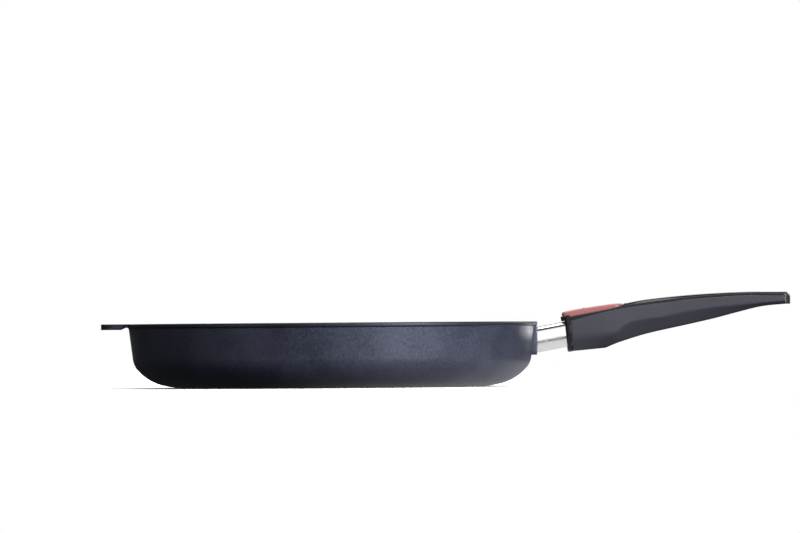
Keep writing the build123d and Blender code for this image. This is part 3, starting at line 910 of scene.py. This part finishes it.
def nosePiece():
    # plan outline with round front corners, its lower and upper edges rounded off
    half, low, high = collar["noseHalf"], collar["noseLow"], collar["top"] - 0.03
    front, rear = collar["nose"]
    edge = collar["noseEdge"]
    rings = []
    levels = [(low + edge * (1 - math.sin(a)), edge * (1 - math.cos(a))) for a in (1.57, 1.1, 0.6, 0.0)]
    levels += [(high - edge * (1 - math.sin(a)), edge * (1 - math.cos(a))) for a in (0.0, 0.4, 0.8, 1.2, 1.57)]
    for w, inset in levels:
        ahead, side = front + inset, half - inset
        corners = ((0.0, ahead), (side, ahead), (side, rear), (0.0, rear))
        ring = bothSides(roundedPath(corners, (collar["noseCorner"], 0.2), 8, 4))
        rings.append([tonguePoint(p.y, p.x, w) for p in ring])
    return loftPiece("nose", rings)


def buildCollar():
    rings = []
    for k in range(7):
        a = math.radians(90.0 * k / 6)
        u = collar["front"] + collar["round"] * (1 - math.sin(a))
        rings.append(collarRing(u, collar["round"] * (1 - math.cos(a))))
    rings.reverse()
    rear = collar["rear"] - collar["gap"]
    for back, inset in ((0.5, 0.0), (0.2, 0.0), (0.0, 0.2)):
        rings.append(collarRing(rear - back, inset))
    piece = loftPiece("collar_gloss", rings)
    combine(piece, nosePiece(), "UNION")
    combine(piece, ferruleSolid("opening", -0.1, 3.0), "DIFFERENCE")
    finishPiece(piece, "handle", "glossBlack", ["front_collar"], 38.0)


buildCollar()
print("stage: collar")

# Red thumb piece: crowned pad with rounded ends and a small raised ridge
cap = {
    "front": 20.4,
    "rear": 64.0,
    "half": 9.9,
    "frontCorner": 3.2,
    "rearCorner": 6.5,
    "low": 11.5,
    "lipLow": 12.85,
    "lipEnd": 25.55,
    "edge": 0.9,
    "crown": ((20.4, 15.35), (22.0, 15.6), (26.0, 15.7), (31.0, 15.8), (38.7, 15.5), (45.0, 15.35),
              (52.0, 14.95), (57.4, 14.65), (62.7, 13.8), (64.0, 13.4)),
    "dish": 0.5,
    "ridgeU": 36.2,
    "ridgeSink": 0.5,
    "ridgeSize": (1.5, 3.4, 0.8),
    "pocket": ((31.8, 52.1), (-7.3, 7.3), (11.0, 13.0)),
}


def capHalf(u):
    half, front, rear = cap["half"], cap["frontCorner"], cap["rearCorner"]
    if u < cap["front"] + front:
        deep = min(cap["front"] + front - u, front)
        return half - front + math.sqrt(max(front ** 2 - deep ** 2, 0.0))
    if u > cap["rear"] - rear:
        deep = min(u - (cap["rear"] - rear), rear)
        return half - rear + math.sqrt(max(rear ** 2 - deep ** 2, 0.0))
    return half


def capRing(u, crown):
    drop = 0.0
    for end in (cap["front"], cap["rear"]):
        near = abs(u - end)
        if near < cap["edge"]:
            drop = cap["edge"] - math.sqrt(cap["edge"] ** 2 - (cap["edge"] - near) ** 2)
    top = crown(u) - drop
    low = cap["lipLow"] if u < cap["lipEnd"] else cap["low"]
    half = capHalf(u)
    corners = ((0.0, low), (half, low), (half, top - cap["dish"]), (0.0, top))
    ring = bothSides(roundedPath(corners, (0.25, 1.1), 7, 8))
    return [tonguePoint(u, p.x, p.y) for p in ring]


def buildCap():
    crown = smoothLine(cap["crown"])
    stations = [20.4, 20.5, 20.7, 21.0, 21.4, 21.9, 22.5, 23.1, 23.6, 24.8, 25.54, 25.56]
    stations += [27.5 + 2.0 * k for k in range(16)]
    stations += [58.6, 59.6, 60.6, 61.5, 62.3, 62.9, 63.3, 63.6, 63.8, 63.92, 63.98]
    piece = loftPiece("thumb_cap", [capRing(u, crown) for u in stations])
    combine(piece, tongueBlock("pocket", *cap["pocket"]), "DIFFERENCE")
    letGo()
    top = tonguePoint(cap["ridgeU"], 0.0, crown(cap["ridgeU"]) - cap["ridgeSink"])
    place = {"location": top * mm, "rotation": (0.0, -tilt, 0.0)}
    bpy.ops.mesh.primitive_uv_sphere_add(segments=32, ring_count=16, radius=1.0, **place)
    ridge = bpy.context.object
    ridge.scale = Vector(cap["ridgeSize"]) * mm
    settle(ridge)
    combine(piece, ridge, "UNION")
    finishPiece(piece, "rocker", "redCap", ["button_cap"], 40.0)


buildCap()
print("stage: thumb cap")

# Inner nodes keep their CAD shape and take a finish
nodeFinishes = {
    "ferrule_pin": "plainSteel",
    "tongue_guide": "guidePlastic",
    "latch_spring": "springSteel",
    "latch_rivets": "plainSteel",
    "rocker_pin": "plainSteel",
    "release_lever": "plainSteel",
    "grip_screws": "plainSteel",
}
for node, finish in nodeFinishes.items():
    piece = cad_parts[node]
    for index in range(max(len(piece.material_slots), 1)):
        if piece.material_slots:
            piece.material_slots[index].material = finishes[finish]
        else:
            piece.data.materials.append(finishes[finish])
print("stage: inner nodes")

# Studio: pale floor, surround for reflections and soft lamps, lengths in m
studio = {
    "floorHalf": 3.0,
    "floorFront": -0.7,
    "floorColour": (1.5, 1.5, 1.5, 1.0),
    "floorGlow": (0.30, 0.70, 0.03, 1.0),  # distance range in m and the light there
    "floorMirror": (-0.06, 0.19, 0.03, 0.80),  # range along X in m and what reflections see there
    "floorEnd": (0.165, 0.200, 1.0, 0.12),  # range along X where reflections darken again
    "floorFar": (-0.29, -0.25, 0.10, 1.0),  # range along Y where reflections end in front
    "floorBounce": 0.20,  # share of that which lights matt surfaces
}


def addFloor(setup):
    letGo()
    bpy.ops.mesh.primitive_plane_add(size=1.0, location=(0.0, 0.0, 0.0))
    floor = bpy.context.object
    floor.name = "floor"
    floor.scale = (2 * setup["floorHalf"], setup["floorHalf"] - setup["floorFront"], 1.0)
    floor.location = (0.0, (setup["floorHalf"] + setup["floorFront"]) / 2, -0.0001)
    settle(floor)
    material = bpy.data.materials.new("paleFloor")
    material.use_nodes = True
    tree = material.node_tree
    tree.nodes.clear()
    where = addNode(tree, "ShaderNodeTexCoord").outputs["Object"]
    away = addNode(tree, "ShaderNodeVectorMath", {0: where}, operation="LENGTH").outputs["Value"]
    parts = addNode(tree, "ShaderNodeSeparateXYZ", {"Vector": where}).outputs
    seen = addNode(tree, "ShaderNodeBsdfDiffuse", {"Color": setup["floorColour"]})
    glow = addNode(tree, "ShaderNodeEmission", {"Strength": remap(tree, away, *setup["floorGlow"])})
    bright = addNode(tree, "ShaderNodeAddShader", {0: seen.outputs[0], 1: glow.outputs[0]})
    path = addNode(tree, "ShaderNodeLightPath")
    share = remap(tree, path.outputs["Is Glossy Ray"], 0.0, 1.0, setup["floorBounce"], 1.0)
    mirrored = math2(tree, "MULTIPLY", remap(tree, parts["X"], *setup["floorMirror"]), share)
    mirrored = math2(tree, "MULTIPLY", mirrored, remap(tree, parts["X"], *setup["floorEnd"]))
    mirrored = math2(tree, "MULTIPLY", mirrored, remap(tree, parts["Y"], *setup["floorFar"]))
    dim = addNode(tree, "ShaderNodeEmission", {"Strength": mirrored})
    shown = math2(tree, "MAXIMUM", path.outputs["Is Camera Ray"], path.outputs["Is Transmission Ray"])
    mixed = addNode(tree, "ShaderNodeMixShader", {0: shown, 1: dim.outputs[0], 2: bright.outputs[0]})
    # clear from below, so that the base can be seen
    below = addNode(tree, "ShaderNodeNewGeometry").outputs["Backfacing"]
    clear = addNode(tree, "ShaderNodeBsdfTransparent")
    sided = addNode(tree, "ShaderNodeMixShader", {0: below, 1: mixed.outputs[0], 2: clear.outputs[0]})
    addNode(tree, "ShaderNodeOutputMaterial", {"Surface": sided.outputs[0]})
    floor.data.materials.append(material)


surround = {
    "ambient": 0.04,
    "keyWay": (0.69, -0.72, 0.10),
    "key": (0.42, 0.97, 2.15),
    "leftWay": (-0.95, -0.30, 0.05),
    "left": (0.45, 0.98, 0.26),
    "backWay": (0.45, 0.89, 0.0),
    "back": (0.45, 0.97, 0.95),
    "sparkWay": (-0.80, -0.59, -0.07),
    "spark": (0.975, 0.990, 4.0),
    "top": (0.93, 0.99, 1.05),
    "gap": (0.36, 0.50),
    "line": (-0.160, -0.140, -0.075, -0.060),
}


def addSurround(setup):
    world = bpy.data.worlds.new("surround")
    bpy.context.scene.world = world
    world.use_nodes = True
    tree = world.node_tree
    tree.nodes.clear()
    way = addNode(tree, "ShaderNodeTexCoord").outputs["Generated"]
    height = addNode(tree, "ShaderNodeSeparateXYZ", {"Vector": way}).outputs["Z"]
    glow = None
    for name in ("key", "left", "back", "spark"):
        low, high, strength = setup[name]
        towards = {0: way, 1: setup[name + "Way"]}
        facing = addNode(tree, "ShaderNodeVectorMath", towards, operation="DOT_PRODUCT")
        part = remap(tree, facing.outputs["Value"], low, high, 0.0, strength)
        glow = part if glow is None else math2(tree, "MAXIMUM", glow, part)
    glow = math2(tree, "MULTIPLY", glow, remap(tree, height, *setup["gap"], 1.0, 0.03))
    low, high, strength = setup["top"]
    glow = math2(tree, "MAXIMUM", glow, remap(tree, height, low, high, 0.0, strength))
    a, b, c, d = setup["line"]
    line = math2(tree, "MULTIPLY", remap(tree, height, a, b, 0.0, 0.85), remap(tree, height, c, d, 1.0, 0.0))
    glow = math2(tree, "MULTIPLY", glow, math2(tree, "SUBTRACT", 1.0, line))
    glow = math2(tree, "ADD", glow, setup["ambient"])
    plainWhite = (1.0, 1.0, 1.0, 1.0)
    lit = addNode(tree, "ShaderNodeBackground", {"Color": plainWhite, "Strength": glow})
    white = addNode(tree, "ShaderNodeBackground", {"Color": plainWhite, "Strength": 1.0})
    seen = addNode(tree, "ShaderNodeLightPath").outputs["Is Camera Ray"]
    mixed = addNode(tree, "ShaderNodeMixShader", {0: seen, 1: lit.outputs[0], 2: white.outputs[0]})
    addNode(tree, "ShaderNodeOutputWorld", {"Surface": mixed.outputs[0]})


lamps = {
    "keyLamp": {"place": (1.6, -1.6, 0.55), "size": 1.0, "power": 42.0},
    "topLamp": {"place": (0.25, 0.1, 1.9), "size": 1.6, "power": 26.0},
    "backLamp": {"place": (1.4, 1.5, 0.7), "size": 1.0, "power": 10.0},
}


def addLamp(name, setup):
    aim = Vector((0.0, 0.0, 0.04)) - Vector(setup["place"])
    turn = aim.to_track_quat("-Z", "Y").to_euler()
    bpy.ops.object.light_add(type="AREA", location=setup["place"], rotation=turn)
    lamp = bpy.context.object
    lamp.name = name
    lamp.data.shape = "SQUARE"
    lamp.data.size = setup["size"]
    lamp.data.energy = setup["power"]


addFloor(studio)
addSurround(surround)
for name, setup in lamps.items():
    addLamp(name, setup)
print("stage: studio")
